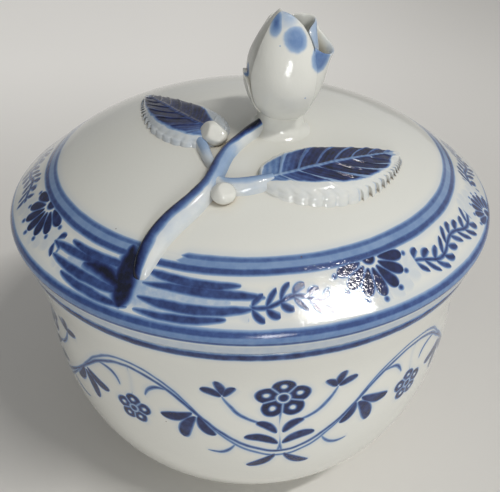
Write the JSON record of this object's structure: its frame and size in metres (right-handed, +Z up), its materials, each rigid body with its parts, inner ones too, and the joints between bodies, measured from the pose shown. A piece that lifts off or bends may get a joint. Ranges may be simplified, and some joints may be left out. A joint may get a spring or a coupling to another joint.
{
  "type": "seal paste box",
  "caption": "Round footed porcelain box with a lift-off domed lid, a rosebud knob and applied leaves, holding a cake of seal paste.",
  "frame": {"origin": "on the table under the box's axis, at the bottom centre of the part's own bounding box", "axes": "+Z up along the box's axis of revolution; -Y toward the viewer of the picture, +X to the right in it"},
  "size_m": [0.1, 0.1, 0.1037],
  "materials": {
    "bowl_porcelain": "clear gloss glaze over white porcelain with underglaze blue",
    "lid_porcelain": "clear gloss glaze over white porcelain with underglaze blue",
    "knob_porcelain": "clear gloss glaze over modelled white porcelain",
    "cobalt_stem": "clear gloss glaze over cobalt blue wash",
    "cobalt_leaf": "clear gloss glaze over cobalt blue strokes",
    "paste": "oily red paste with a smoothed crown"
  },
  "bodies": {
    "bowl": {"bowl": "bowl_porcelain", "seal_paste": "paste"},
    "lid": {"lid": "lid_porcelain", "bud_base": "knob_porcelain", "bud_heart": "knob_porcelain", "petal_left": "knob_porcelain", "petal_front": "knob_porcelain", "petal_right": "knob_porcelain", "petal_back": "knob_porcelain", "petal_rear": "knob_porcelain", "petal_low": "knob_porcelain", "main_stem": "cobalt_stem", "right_twig": "cobalt_stem", "left_twig": "knob_porcelain", "side_bud": "knob_porcelain", "leaf_bud": "knob_porcelain", "right_leaf": "cobalt_leaf", "left_leaf": "cobalt_leaf"}
  },
  "joints": [
    {"name": "lid_lift", "type": "slide", "parent": "bowl", "child": "lid", "axis": [0, 0, 1], "range_m": [0, 0.06]}
  ]
}
